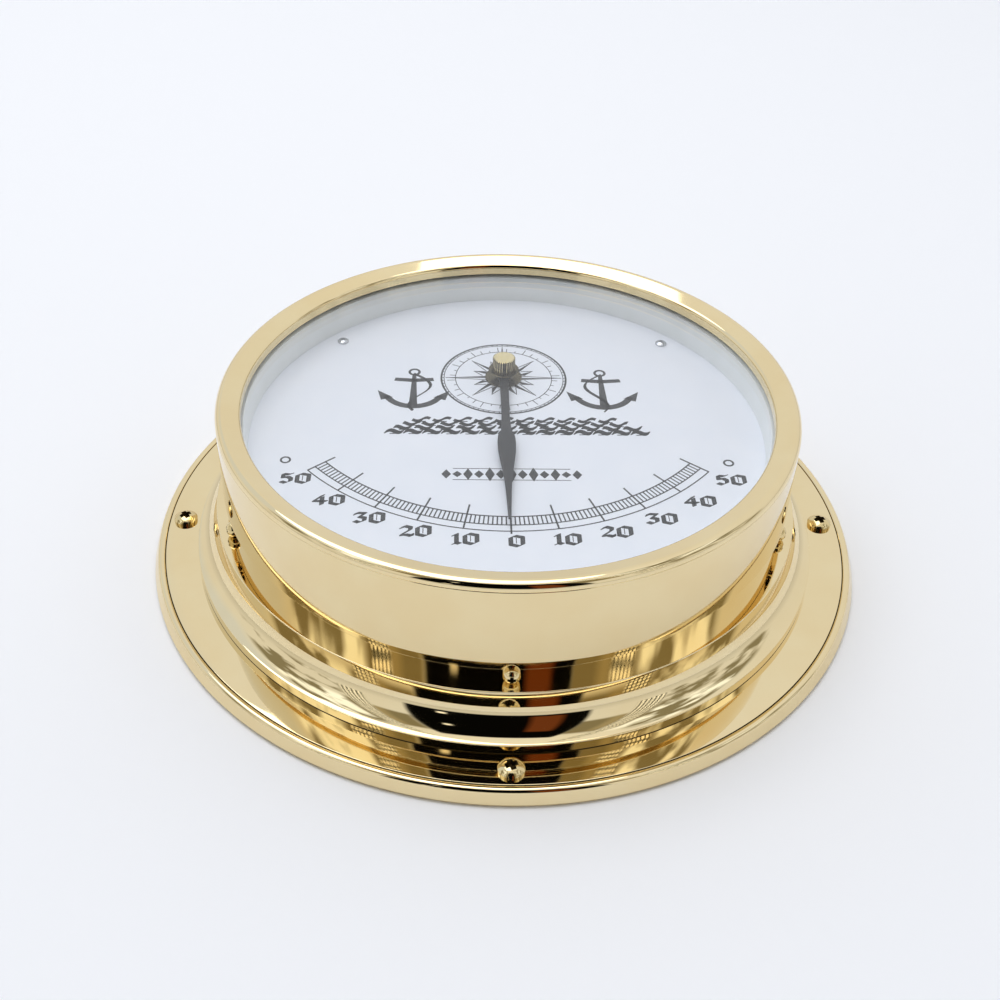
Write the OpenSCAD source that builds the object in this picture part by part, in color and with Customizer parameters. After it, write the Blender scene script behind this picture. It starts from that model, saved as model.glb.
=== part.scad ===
// Ship inclinometer, lying on its back.
// Z runs up the case axis from the table, +Y is the top of the dial, the origin is under the centre.

/* [Mounting ring] */
// Overall diameter over the rim
outer_d = 180; // [178:1:186]
// Height of the flat flange above the table
flange_h = 4; // [3.8:0.1:4.6]
// Radius of the rim's rounded top edge
rim_r = 1.1; // [0.9:0.1:1.3]
// Lean of the rim's outer face from upright, in degrees
rim_lean = 20; // [16:1:24]
// Radial width from the rim to the step
flange_w = 11.4; // [11:0.1:12]
// Thickness of the flange's plate
flange_t = 1.5; // [1.3:0.1:1.6]
// Wall of the turned ring
wall_t = 1.8; // [1.6:0.1:1.9]
// Height of the step at the foot of the cove
step_h = 2.5; // [2:0.1:3]
// Height of the cove
cove_h = 8.1; // [7.8:0.1:8.6]
// Radial width of the cove
cove_w = 3.8; // [3.6:0.05:4]
// Radius of the cove's hollow
cove_r = 9.1; // [8.6:0.1:9.6]
// Depth of the undercut below the bead
undercut_w = 1.85; // [1.6:0.05:2]
// Height of the undercut below the bead
undercut_h = 2.3; // [2:0.1:2.6]
// Height of the bead's face
bead_h = 4.25; // [3.8:0.05:4.6]
// How far the bead's face leans in towards its top
bead_lean = 0.5; // [0.3:0.05:0.6]
// Radial width of the ledge on the bead
ledge_w = 5.4; // [5.2:0.05:5.6]
// Height of the neck that shows under the bezel
neck_show = 4.65; // [4.4:0.05:5]

/* [Bezel and glass] */
// Radial step from the neck out to the bezel
bezel_proud = 1.2; // [1:0.1:1.6]
// Height of the bezel
bezel_h = 22.15; // [21.8:0.05:22.4]
// Radial width of the rolled lip
lip_w = 6.1; // [5.8:0.1:6.3]
// Thickness of the lip over the glass
lip_t = 3.75; // [3.6:0.05:3.9]
// Radius of the lip's outer roll
roll_r = 1.75; // [1.5:0.05:2]
// Radius of the lip's inner edge
lip_edge_r = 1.2; // [1:0.1:1.4]
// Fall of the lip's top towards the glass, in degrees
lip_fall = 17; // [14:1:20]
// Length of the skirt round the neck
skirt_h = 3.8; // [3:0.1:4.5]
// Thickness of the glass
glass_t = 2; // [1.6:0.1:2.2]
// Thickness of the gasket
gasket_t = 0.2; // [0.2:0.1:0.4]
// Height of the spacer ring
spacer_h = 6.9; // [6.7:0.1:7.2]
// Wall of the spacer ring at the dial
spacer_w = 4.4; // [4:0.1:4.8]

/* [Dial] */
// Thickness of the dial plate
dial_t = 1; // [0.8:0.1:1.4]
// Height of the pivot above the case centre
pivot_y = 23.3; // [22:0.1:25]
// Radius of the hole for the arbor in the dial
dial_hole_r = 2.6; // [2.2:0.1:3]
// Radius of the dark disc round the arbor
dial_bush_r = 4.8; // [4:0.1:5]
// Thickness of the dark disc
dial_bush_t = 0.5; // [0.3:0.1:0.8]
// Distance from the dial's edge in to each dial screw
dial_screw_in = 8.4; // [7.4:0.1:9]
// Angle of each dial screw above the case's cross line
dial_screw_a = 43.2; // [40:0.1:46]
// Radius of a dial screw's head
dial_screw_head_r = 1.5; // [1.3:0.1:1.8]

/* [Pointer] */
// Gap between the pointer's reach and the bore of the spacer ring
pointer_gap = 2.8; // [2.8:0.1:5.6]
// Greatest width of the blade
pointer_w = 4.8; // [3.6:0.1:5]
// Thickness of the pointer
pointer_t = 0.4; // [0.3:0.1:0.6]
// Height of the pointer above the dial
pointer_lift = 1.9; // [1.7:0.1:2.2]
// Radius of the pointer's round eye
pointer_eye_r = 3.2; // [3:0.1:3.6]
// Radius of the washer
washer_r = 3.9; // [3.4:0.1:4]
// Thickness of the washer
washer_t = 0.4; // [0.3:0.1:0.6]
// Radius of the knurled nut
nut_r = 2.95; // [2.5:0.05:3]
// Height of the knurled nut
nut_h = 3.8; // [3.4:0.1:3.9]

/* [Arbor and bearings] */
// Diameter of the arbor
arbor_d = 3; // [2.8:0.1:3.2]
// Diameter of the arbor's threaded end
arbor_end_d = 2.2; // [2:0.1:2.4]
// Radial clearance of the arbor in its bushes
run_clear = 0.04; // [0.02:0.01:0.08]
// Radius of the bushes
bush_r = 3.5; // [3.2:0.1:4]
// Height of the underside of the bridge
bridge_z = 26; // [25.5:0.1:26.4]
// Thickness of the bridge
bridge_t = 2; // [1.8:0.1:2.4]
// Width of the bridge
bridge_w = 12; // [11:0.5:14]
// Sideways place of each post
post_x = 20; // [19:0.5:22]
// Radius of the posts
post_r = 4; // [3.5:0.1:4.2]

/* [Pendulum] */
// Gap between the pendulum's reach and the bore of the drum
pendulum_gap = 2.7; // [2.7:0.1:6]
// Radius of the bob
bob_r = 11; // [9:0.5:11]
// Height of the bob
bob_h = 14; // [10:0.5:14]
// Height of the rod above the table
rod_z = 15; // [14:0.5:15.5]
// Radius of the rod
rod_r = 1.75; // [1.5:0.05:1.9]
// Radius of the collet
collet_r = 5.5; // [5:0.1:6]
// Radius of the bob nut
bob_nut_r = 3.2; // [3:0.1:3.6]
// Height of the bob nut
bob_nut_h = 3; // [2.5:0.1:3.5]

/* [Case drum] */
// Wall of the drum
drum_wall = 2; // [1.8:0.1:2.2]
// Thickness of the drum's floor
floor_t = 2; // [1.8:0.1:2.4]
// Gap between the drum's floor and the table
floor_gap = 1; // [0.6:0.1:1.2]

/* [Screws] */
// Distance from the rim in to the circle of flange screws
flange_screw_in = 7; // [6.9:0.1:7.2]
// Radius of a flange screw's head
flange_head_r = 3; // [2.8:0.1:3.2]
// Radius of a flange screw's threaded end
flange_shank_r = 1.5; // [1.3:0.1:1.6]
// Radius of a neck screw's head
neck_head_r = 2.05; // [1.8:0.05:2.1]
// Height of a neck screw above the ledge
neck_screw_lift = 2.2; // [2.15:0.05:2.3]

/* [Hidden] */
$fn = 96;
eps = 0.02;
outer_r = outer_d / 2;
// the rim is widest a little above its foot and leans in up to its rounded top edge
rim_foot = 0.55;
rim_widest = 1;
rim_rise = 0.3;
rim_z = flange_h + rim_rise - rim_r;
rim_face = [rim_r * cos(rim_lean), rim_r * sin(rim_lean)];
rim_c = outer_r - (rim_z + rim_face[1] - rim_widest) * tan(rim_lean) - rim_face[0];
// the flat ends at a fine groove inside the rim
groove_r = rim_c - rim_r * 0.8;
groove_flank = 0.2;
groove_d = 0.45;
edge_break = 0.2;
// the rim's flat foot, how far it reaches in from the centre of the rounded edge
foot_w = 1.6;
step_r = outer_r - flange_w;
step_lip = 0.3;
undercut_neck = 0.05;
undercut_fall = 1.1;
bead_edge = 0.2;
step_z = flange_h + step_h;
bead_r = step_r - cove_w;
bead_z = step_z + cove_h;
ledge_z = bead_z + bead_h;
neck_r = bead_r - ledge_w;
neck_wall = 1.9;
neck_bore = neck_r - neck_wall;
bezel_z = ledge_z + neck_show;
neck_top = bezel_z + skirt_h;
bezel_r = neck_r + bezel_proud;
bezel_top = bezel_z + bezel_h;
lip_r = bezel_r - lip_w;
lip_z = bezel_top - lip_t;
roll_c = [bezel_r - roll_r, bezel_top - roll_r];
lip_run = roll_c[0] - lip_r - lip_edge_r;
lip_drop = lip_run * tan(lip_fall) - (roll_r - lip_edge_r) / cos(lip_fall);
edge_c = [lip_r + lip_edge_r, roll_c[1] - lip_drop];
fall_n = [-sin(lip_fall), cos(lip_fall)];
bezel_edge = 0.15;
skirt_clear = 0.05;
bezel_seat = 1.2;
bezel_bore = neck_r - bezel_seat;
glass_clear = 0.2;
glass_r = bezel_bore - glass_clear;
gasket_back = 0.5;
gasket_bore = lip_r + gasket_back;
glass_z = lip_z - gasket_t - glass_t;
spacer_z = glass_z - spacer_h;
spacer_bore = glass_r - spacer_w;
spacer_flare = 0.5;
// dial
dial_z = spacer_z - dial_t;
dial_clear = 0.2;
dial_r = glass_r - dial_clear;
dial_screw_c = dial_r - dial_screw_in;
dial_screw_x = dial_screw_c * cos(dial_screw_a);
dial_screw_y = dial_screw_c * sin(dial_screw_a);
screw_r = 1.25;
dial_shank_r = 1;
dial_head_h = 0.9;
dial_shank_l = 6;
pointer_l = spacer_bore - pointer_gap;
pointer_z = spacer_z + pointer_lift;
washer_z = pointer_z + pointer_t;
nut_z = washer_z + washer_t;
nut_crown = 0.8;
nut_edge = 0.3;
bush_clear = 0.4;
// drum
drum_r = neck_bore;
drum_bore = drum_r - drum_wall;
floor_top = floor_gap + floor_t;
// arbor and bearings
arbor_r = arbor_d / 2;
arbor_end_r = arbor_end_d / 2;
arbor_recess = 0.4;
arbor_z = floor_gap + arbor_recess;
arbor_top = nut_z + nut_h - nut_crown;
bush_bore = arbor_r + run_clear;
bush_flange_w = 1.3;
bush_flange_r = bush_r + bush_flange_w;
rear_flange_t = 1.4;
front_flange_t = 0.8;
front_drop = 1;
end_play = 0.35;
collet_z = floor_top + rear_flange_t + end_play;
collet_top = bridge_z - front_drop - end_play;
bridge_over = 2;
bridge_reach = post_x + bridge_over;
bridge_head_r = 2.6;
bridge_head_h = 1.4;
bridge_shank_l = 10;
pillar_r = 3.5;
// pendulum
rod_over = 0.8;
rod_end = drum_bore - pendulum_gap;
bob_arm = rod_end - rod_over - bob_nut_h - bob_r;
collet_grip = 3;
grub_recess = 0.3;
// screws
flange_screw_c = outer_r - flange_screw_in;
head_crown = 0.45;
head_top = 0.62;
flange_head_h = 2.1;
flange_clear = 0.05;
// the plain shank is a little thicker than the thread and ends just under the plate
flange_plain = 0.3;
flange_plain_out = 0.3;
flange_under = flange_h - flange_t;
flange_tip = 0.3;
neck_head_h = 2;
neck_shank_r = 1.1;
neck_shank_l = 4.6;
neck_count = 5;
base_head_r = 2.3;
base_head_h = 1.1;
base_shank_l = 10;

brass = [0.86, 0.74, 0.45];
steel = [0.72, 0.72, 0.74];

// round part from z0 to z1 about the case axis or about the pivot
module post(r, z0, z1, x = 0, y = 0) {
    translate([x, y, z0])
        cylinder(r = r, h = z1 - z0);
}

module tube(r, bore, z0, z1, x = 0, y = 0) {
    difference() {
        post(r, z0, z1, x, y);
        post(bore, z0 - eps, z1 + eps, x, y);
    }
}

// low round head on its seat, pointing up
module head(r, h) {
    cylinder(r = r, h = h * (1 - head_crown));
    translate([0, 0, h * (1 - head_crown)])
        cylinder(r1 = r, r2 = r * head_top, h = h * head_crown);
}

module left_right(x) {
    for (side = [-1, 1])
        translate([side * x, 0, 0])
            children();
}

module round_neck() {
    for (k = [0 : neck_count - 1])
        rotate([0, 0, 270 + k * 360 / neck_count])
            translate([0, 0, ledge_z + neck_screw_lift])
                rotate([0, 90, 0])
                    children();
}

module round_flange() {
    for (k = [0 : 3])
        rotate([0, 0, 90 * k])
            translate([flange_screw_c, 0, 0])
                children();
}

module base_places() {
    left_right(post_x)
        translate([0, pivot_y, 0])
            children();
    left_right(dial_screw_x)
        translate([0, dial_screw_y, 0])
            children();
}

// centre of the cove's circle, outside the wall, from its two ends
cove_a = [step_r - step_lip, step_z];
cove_b = [bead_r - undercut_w, bead_z - undercut_h];
cove_m = (cove_a + cove_b) / 2;
cove_d = cove_b - cove_a;
cove_l = norm(cove_d);
cove_k = sqrt(cove_r * cove_r - cove_l * cove_l / 4) / cove_l;
cove_c = cove_m + cove_k * [cove_d[1], -cove_d[0]];

// a point of the inside wall behind the cove, at a height
function skin(z) = [cove_c[0] - sqrt(pow(cove_r + wall_t, 2) - pow(cove_c[1] - z, 2)), z];

module ring_section() {
    skin_step = 2.2;
    bead_in = bead_r - bead_lean - wall_t;
    difference() {
        union() {
            polygon([[neck_bore, 0], [outer_r - rim_foot, 0], [outer_r - edge_break / 2, rim_widest / 2],
                     [outer_r, rim_widest], [rim_c, rim_z] + rim_face, [rim_c, rim_z + rim_r],
                     [groove_r, flange_h - groove_d], [groove_r - groove_flank, flange_h],
                     [step_r, flange_h], [step_r, step_z - step_lip], cove_a, cove_b,
                     [cove_b[0] + undercut_neck, bead_z - undercut_fall], [bead_r - bead_edge, bead_z],
                     [bead_r, bead_z + bead_edge], [bead_r - bead_lean, ledge_z - edge_break],
                     [bead_r - bead_lean - edge_break, ledge_z], [neck_r, ledge_z],
                     [neck_r, neck_top], [neck_bore, neck_top]]);
            translate([rim_c, rim_z])
                circle(r = rim_r);
        }
        // the cove, up to the undercut
        intersection() {
            translate(cove_c)
                circle(r = cove_r);
            square([outer_r, cove_b[1]]);
        }
        // hollow underside
        polygon([[neck_bore - 1, -5], [rim_c - foot_w, -5], [rim_c - foot_w, flange_under],
                 [step_r - wall_t, flange_under], [step_r - wall_t, step_z - wall_t],
                 skin(step_z), skin(step_z + skin_step), skin(cove_b[1]),
                 [skin(cove_b[1])[0], bead_z], [bead_in, bead_z + wall_t / 3],
                 [bead_in, ledge_z - wall_t], [neck_bore - 1, ledge_z - wall_t]]);
    }
}

module mounting_ring() {
    color(brass)
        difference() {
            rotate_extrude()
                ring_section();
            round_flange()
                cylinder(r = flange_shank_r + flange_plain + flange_clear, h = flange_h + 1);
            round_neck()
                translate([0, 0, neck_bore - 1])
                    cylinder(r = neck_shank_r, h = wall_t + 3);
        }
}

module case_drum() {
    color(brass)
        difference() {
            post(drum_r, floor_gap, dial_z);
            post(drum_bore, floor_top, dial_z + 1);
            post(bush_r, floor_gap - 1, floor_top + 1, 0, pivot_y);
            base_places()
                base_screw_hole();
            round_neck()
                translate([0, 0, drum_bore - 1])
                    cylinder(r = neck_shank_r, h = drum_wall + 2);
        }
}

module base_screw_hole() {
    translate([0, 0, floor_gap - 1])
        cylinder(r = screw_r, h = floor_t + 2);
    translate([0, 0, floor_gap - 1])
        cylinder(r = base_head_r, h = 1 + base_head_h);
}

module bezel() {
    color(brass)
        rotate_extrude()
            difference() {
                union() {
                    polygon([[neck_r + skirt_clear, bezel_z], [bezel_r - bezel_edge, bezel_z],
                             [bezel_r, bezel_z + bezel_edge], [bezel_r, roll_c[1]],
                             roll_c + roll_r * fall_n, edge_c + lip_edge_r * fall_n,
                             [lip_r, edge_c[1]], [lip_r, lip_z], [bezel_bore, lip_z],
                             [bezel_bore, neck_top], [neck_r + skirt_clear, neck_top]]);
                    translate(roll_c)
                        circle(r = roll_r);
                    translate(edge_c)
                        circle(r = lip_edge_r);
                }
                translate([lip_r - 1, lip_z - 10])
                    square([bezel_bore - lip_r + 1, 10]);
            }
}

module glass() {
    color([0.85, 0.92, 0.95, 0.3])
        post(glass_r, glass_z, glass_z + glass_t);
}

module glass_gasket() {
    color([0.15, 0.15, 0.15])
        tube(glass_r, gasket_bore, glass_z + glass_t, lip_z);
}

module spacer_ring() {
    color([0.78, 0.82, 0.8])
        difference() {
            post(glass_r, spacer_z, glass_z);
            translate([0, 0, spacer_z - eps])
                cylinder(r1 = spacer_bore, r2 = spacer_bore + spacer_flare, h = spacer_h + 2 * eps);
        }
}

module dial() {
    color([0.93, 0.94, 0.96])
        difference() {
            post(dial_r, dial_z, spacer_z);
            post(dial_hole_r, dial_z - 1, spacer_z + 1, 0, pivot_y);
            left_right(dial_screw_x)
                post(dial_shank_r, dial_z - 1, spacer_z + 1, 0, dial_screw_y);
        }
}

module dial_bush() {
    color([0.08, 0.08, 0.09])
        difference() {
            union() {
                post(dial_bush_r, spacer_z, spacer_z + dial_bush_t, 0, pivot_y);
                post(dial_hole_r, dial_z, spacer_z + dial_bush_t, 0, pivot_y);
            }
            post(arbor_r + bush_clear, dial_z - 1, spacer_z + dial_bush_t + 1, 0, pivot_y);
        }
}

module dial_screws() {
    color(steel)
        left_right(dial_screw_x)
            translate([0, dial_screw_y, spacer_z]) {
                head(dial_screw_head_r, dial_head_h);
                translate([0, 0, -dial_shank_l])
                    cylinder(r = dial_shank_r, h = dial_shank_l);
            }
}

module dial_pillars() {
    color(brass)
        left_right(dial_screw_x)
            difference() {
                post(pillar_r, floor_top, dial_z, 0, dial_screw_y);
                post(dial_shank_r, spacer_z - dial_shank_l, dial_z + 1, 0, dial_screw_y);
                post(screw_r, floor_top - 1, floor_gap + base_shank_l, 0, dial_screw_y);
            }
}

module bridge_posts() {
    color(brass)
        left_right(post_x)
            difference() {
                post(post_r, floor_top, bridge_z, 0, pivot_y);
                post(screw_r, bridge_z + bridge_t - bridge_shank_l, bridge_z + 1, 0, pivot_y);
                post(screw_r, floor_top - 1, floor_gap + base_shank_l, 0, pivot_y);
            }
}

module bearing_bridge() {
    color(brass)
        difference() {
            union() {
                translate([-bridge_reach, pivot_y - bridge_w / 2, bridge_z])
                    cube([2 * bridge_reach, bridge_w, bridge_t]);
                left_right(bridge_reach)
                    post(bridge_w / 2, bridge_z, bridge_z + bridge_t, 0, pivot_y);
            }
            post(bush_r, bridge_z - 1, bridge_z + bridge_t + 1, 0, pivot_y);
            left_right(post_x)
                post(screw_r, bridge_z - 1, bridge_z + bridge_t + 1, 0, pivot_y);
        }
}

module bridge_screws() {
    color(steel)
        left_right(post_x)
            translate([0, pivot_y, bridge_z + bridge_t]) {
                cylinder(r = bridge_head_r, h = bridge_head_h);
                translate([0, 0, -bridge_shank_l])
                    cylinder(r = screw_r, h = bridge_shank_l);
            }
}

module base_screws() {
    color(steel)
        base_places() {
            post(base_head_r, floor_gap, floor_gap + base_head_h);
            post(screw_r, floor_gap, floor_gap + base_shank_l);
        }
}

module front_bush() {
    bridge_top = bridge_z + bridge_t;
    color([0.8, 0.6, 0.35])
        difference() {
            union() {
                post(bush_r, bridge_z - front_drop, bridge_top, 0, pivot_y);
                post(bush_flange_r, bridge_top, bridge_top + front_flange_t, 0, pivot_y);
            }
            post(bush_bore, bridge_z - front_drop - 1, bridge_top + front_flange_t + 1, 0, pivot_y);
        }
}

module rear_bush() {
    color([0.8, 0.6, 0.35])
        difference() {
            union() {
                post(bush_r, floor_gap, floor_top, 0, pivot_y);
                post(bush_flange_r, floor_top, floor_top + rear_flange_t, 0, pivot_y);
            }
            post(bush_bore, floor_gap - 1, floor_top + rear_flange_t + 1, 0, pivot_y);
        }
}

module neck_screws() {
    color(brass)
        round_neck() {
            translate([0, 0, neck_r])
                head(neck_head_r, neck_head_h);
            translate([0, 0, neck_r - neck_shank_l])
                cylinder(r = neck_shank_r, h = neck_shank_l);
        }
}

module flange_screws() {
    color(brass)
        round_flange() {
            translate([0, 0, flange_h])
                head(flange_head_r, flange_head_h);
            translate([0, 0, flange_under - flange_plain_out])
                cylinder(r = flange_shank_r + flange_plain, h = flange_t + flange_plain_out);
            translate([0, 0, flange_tip])
                cylinder(r = flange_shank_r, h = flange_h - flange_tip);
        }
}

// the moving parts all turn about the pivot
module arbor() {
    color(steel)
        union() {
            post(arbor_r, arbor_z, pointer_z, 0, pivot_y);
            post(arbor_end_r, pointer_z, arbor_top, 0, pivot_y);
        }
}

// half widths of the blade at distances along it, as shares of the length
blade = [[0.04, 0.29], [0.2, 0.24], [0.36, 0.23], [0.43, 0.31], [0.49, 0.43], [0.545, 0.5],
         [0.6, 0.49], [0.67, 0.36], [0.76, 0.22], [0.86, 0.13], [0.95, 0.09], [1, 0.08]];

module pointer() {
    steps = len(blade);
    color([0.06, 0.06, 0.07])
        difference() {
            union() {
                translate([0, pivot_y, pointer_z])
                    linear_extrude(pointer_t)
                        polygon(concat(
                            [for (b = blade) [b[1] * pointer_w, -b[0] * pointer_l]],
                            [for (i = [1 : steps])
                                let (b = blade[steps - i]) [-b[1] * pointer_w, -b[0] * pointer_l]]));
                post(pointer_eye_r, pointer_z, washer_z, 0, pivot_y);
            }
            post(arbor_end_r, pointer_z - 1, washer_z + 1, 0, pivot_y);
        }
}

module pointer_washer() {
    color(brass)
        tube(washer_r, arbor_end_r, washer_z, nut_z, 0, pivot_y);
}

module knurled_nut() {
    color(brass)
        difference() {
            union() {
                post(nut_r, nut_z, nut_z + nut_h - nut_edge, 0, pivot_y);
                translate([0, pivot_y, nut_z + nut_h - nut_edge])
                    cylinder(r1 = nut_r, r2 = nut_r - nut_edge, h = nut_edge);
            }
            post(arbor_end_r, nut_z - 1, arbor_top, 0, pivot_y);
        }
}

module pendulum_collet() {
    color(brass)
        difference() {
            post(collet_r, collet_z, collet_top, 0, pivot_y);
            post(arbor_r, collet_z - 1, collet_top + 1, 0, pivot_y);
            translate([0, pivot_y - collet_r + collet_grip, rod_z])
                rotate([90, 0, 0])
                    cylinder(r = rod_r, h = collet_r + 1);
            translate([0, pivot_y, rod_z])
                rotate([-90, 0, 0])
                    cylinder(r = screw_r, h = collet_r + 1);
        }
}

module collet_screw() {
    color(steel)
        translate([0, pivot_y + arbor_r, rod_z])
            rotate([-90, 0, 0])
                cylinder(r = screw_r, h = collet_r - arbor_r - grub_recess);
}

module pendulum_rod() {
    color(steel)
        translate([0, pivot_y - collet_r + collet_grip, rod_z])
            rotate([90, 0, 0])
                cylinder(r = rod_r, h = rod_end - collet_r + collet_grip);
}

module pendulum_bob() {
    color(brass)
        difference() {
            post(bob_r, rod_z - bob_h / 2, rod_z + bob_h / 2, 0, pivot_y - bob_arm);
            translate([0, pivot_y, rod_z])
                rotate([90, 0, 0])
                    cylinder(r = rod_r, h = bob_arm + bob_r + 1);
        }
}

module bob_nut() {
    color(steel)
        translate([0, pivot_y - bob_arm - bob_r, rod_z])
            rotate([90, 0, 0])
                difference() {
                    cylinder(r = bob_nut_r, h = bob_nut_h);
                    translate([0, 0, -1])
                        cylinder(r = rod_r, h = bob_nut_h + 2);
                }
}

mounting_ring();
case_drum();
bezel();
glass();
glass_gasket();
spacer_ring();
dial();
dial_screws();
dial_bush();
dial_pillars();
bridge_posts();
bearing_bridge();
bridge_screws();
base_screws();
front_bush();
rear_bush();
neck_screws();
flange_screws();
arbor();
pointer();
pointer_washer();
knurled_nut();
pendulum_collet();
collet_screw();
pendulum_rod();
pendulum_bob();
bob_nut();
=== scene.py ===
import math

import bmesh
import bpy
from mathutils import Matrix, Vector


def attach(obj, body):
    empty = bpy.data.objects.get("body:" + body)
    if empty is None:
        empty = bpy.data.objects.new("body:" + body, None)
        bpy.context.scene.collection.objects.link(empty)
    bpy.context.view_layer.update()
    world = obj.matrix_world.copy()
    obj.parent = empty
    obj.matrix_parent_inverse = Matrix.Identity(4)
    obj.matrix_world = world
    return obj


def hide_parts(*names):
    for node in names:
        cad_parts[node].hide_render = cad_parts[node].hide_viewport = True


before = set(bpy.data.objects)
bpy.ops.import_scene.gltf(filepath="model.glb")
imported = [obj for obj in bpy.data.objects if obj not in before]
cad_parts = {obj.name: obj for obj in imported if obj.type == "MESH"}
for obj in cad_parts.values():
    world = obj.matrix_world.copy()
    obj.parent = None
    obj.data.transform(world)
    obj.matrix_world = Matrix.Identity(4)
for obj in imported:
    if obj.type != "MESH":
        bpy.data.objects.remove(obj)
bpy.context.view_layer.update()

CASE = "case"
PENDULUM = "pendulum"

# all sizes below are in millimetres until a piece is finished
MM = 0.001

# the turned ring, from its foot at z = 0
FLANGE_R = 90
FLANGE_TOP = 4
FOOT_R = 86.43
STEP_R = 78.6
STEP_TOP = 6.5
STEP_EASE = 0.15
SEAM_TOP = 4.2
BEAD_R = 73.2
BEAD_TOP_R = 72.9
BEAD_EASE = 0.2
LEDGE_TOP = 17.05
NECK_R = 69.4
NECK_BORE = 67.5
NECK_TOP = 27.3
HOLLOW_TOP = 15.25
FOOT_HOLLOW = 2.5

# the bezel over the neck
WALL_R = 70.6
SKIRT_BORE = 69.45
SKIRT_LOW = 23.5
WALL_TOP = 43.9
WALL_EASE = 0.15
CREASE_R = 70.5
CREASE_TOP = 43.82
CREASE_LOW = 43.55
LIP_R = 64.5
LIP_LOW = 41.9
LIP_BORE = 68.2

# the glass, the spacer ring and the dial under it
GLASS_R = 68
GLASS_LOW = 39.7
GLASS_TOP = 41.7
GLASS_CHAMFER = 0.15
SPACER_LOW_BORE = 63.6
SPACER_TOP_BORE = 64.1
DIAL_TOP = 32.8

# the pivot, above the middle of the dial, and what is stacked on it
PIVOT_Y = 23.3
DISC_LOW = 31.9
DISC_BORE = 1.9
DISC_TOP = 33.0
POINTER_LOW = 34.72
POINTER_THICK = 0.36
WASHER_LOW = 35.1
WASHER_BORE = 1.1
NUT_LOW = 35.3
NUT_R = 2.92
NUT_BODY = 3.75
NUT_RIDGES = 30

# places of the screws
FLANGE_SCREW_R = 83
NECK_SCREW_Z = 19.02
DIAL_SCREW_X = 43.3
DIAL_SCREW_Y = 40.66

# finish of the meshes: faces round a turned piece, and how points and normals are joined
LARGE_TURNS = 320
SMALL_TURNS = 96
SCREW_TURNS = 72
MERGE_DISTANCE = 0.0005
NORMAL_WEIGHT = 80


# colours and materials

def linear(code):
    """sRGB hex to the linear colour that a shader takes."""
    parts = [int(code[i:i + 2], 16) / 255 for i in (1, 3, 5)]
    return [c / 12.92 if c <= 0.04045 else ((c + 0.055) / 1.055) ** 2.4 for c in parts] + [1.0]


def add(tree, kind, links=None, **settings):
    """Adds a node. A setting named in_X sets socket X, any other sets a property."""
    node = tree.nodes.new(kind)
    for key, value in settings.items():
        if key.startswith("in_"):
            name = key[3:]
            socket = node.inputs[int(name)] if name.isdigit() else node.inputs[name.replace("_", " ")]
            socket.default_value = value
        else:
            setattr(node, key, value)
    for target, source in (links or {}).items():
        tree.links.new(source, node.inputs[target])
    return node


def new_material(name, colour, roughness, metallic=0.0, **sockets):
    """A named material with its constants on the shader's own sockets."""
    mat = bpy.data.materials.new(name)
    mat.use_nodes = True
    shader = mat.node_tree.nodes["Principled BSDF"]
    shader.inputs["Base Color"].default_value = linear(colour)
    shader.inputs["Roughness"].default_value = roughness
    shader.inputs["Metallic"].default_value = metallic
    for key, value in sockets.items():
        shader.inputs[key.replace("_", " ")].default_value = value
    return mat, mat.node_tree, shader


def speckle(tree, shader, colour, other, size_mm, low, high):
    """Noise of a real size that mixes two near colours."""
    where = add(tree, "ShaderNodeTexCoord")
    noise = add(tree, "ShaderNodeTexNoise", {"Vector": where.outputs["Object"]},
                in_Scale=1 / (size_mm * MM), in_Detail=3.0)
    ramp = add(tree, "ShaderNodeValToRGB", {"Fac": noise.outputs["Fac"]})
    ramp.color_ramp.elements[0].position = low
    ramp.color_ramp.elements[0].color = linear(colour)
    ramp.color_ramp.elements[1].position = high
    ramp.color_ramp.elements[1].color = linear(other)
    tree.links.new(ramp.outputs["Color"], shader.inputs["Base Color"])
    return where


def waviness(tree, shader, where, size_mm, depth_mm, detail=1.0):
    """Bump of a real size and depth."""
    noise = add(tree, "ShaderNodeTexNoise", {"Vector": where.outputs["Object"]},
                in_Scale=1 / (size_mm * MM), in_Detail=detail)
    bump = add(tree, "ShaderNodeBump", {"Height": noise.outputs["Fac"]},
               in_Strength=1.0, in_Distance=depth_mm * MM)
    tree.links.new(bump.outputs["Normal"], shader.inputs["Normal"])


def metal(name, colour, other, roughness, wave_mm, depth_mm):
    """Metal with clouded colour, slight waves and an uneven gloss."""
    cloud_mm = 14
    haze_mm = 5
    mat, tree, shader = new_material(name, colour, roughness, 1.0)
    where = speckle(tree, shader, colour, other, cloud_mm, 0.35, 0.65)
    waviness(tree, shader, where, wave_mm, depth_mm)
    haze = add(tree, "ShaderNodeTexNoise", {"Vector": where.outputs["Object"]},
               in_Scale=1 / (haze_mm * MM), in_Detail=4.0)
    spread = add(tree, "ShaderNodeMapRange", {"Value": haze.outputs["Fac"]},
                 in_From_Min=0.3, in_From_Max=0.75, in_To_Min=roughness * 0.6, in_To_Max=roughness * 1.8)
    tree.links.new(spread.outputs["Result"], shader.inputs["Roughness"])
    return mat


# polished and lacquered brass, a pale gold mirror with a slight hand-buffed waviness
BRASS = metal("polished lacquered brass", "#eedbae", "#ecd7a8", 0.035, 7.0, 0.006)
# the same brass on small turned screws, a little rougher
SCREW_BRASS = metal("polished screw brass", "#e6d2a0", "#dcc48c", 0.09, 0.8, 0.01)
# dull brass painted dark as shade in hollows: screw recesses, knurl grooves, groove and seam of the ring
SHADE_DARK_BRASS = metal("brass painted dark as shade", "#3c3018", "#54452a", 0.45, 0.4, 0.02)
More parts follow.
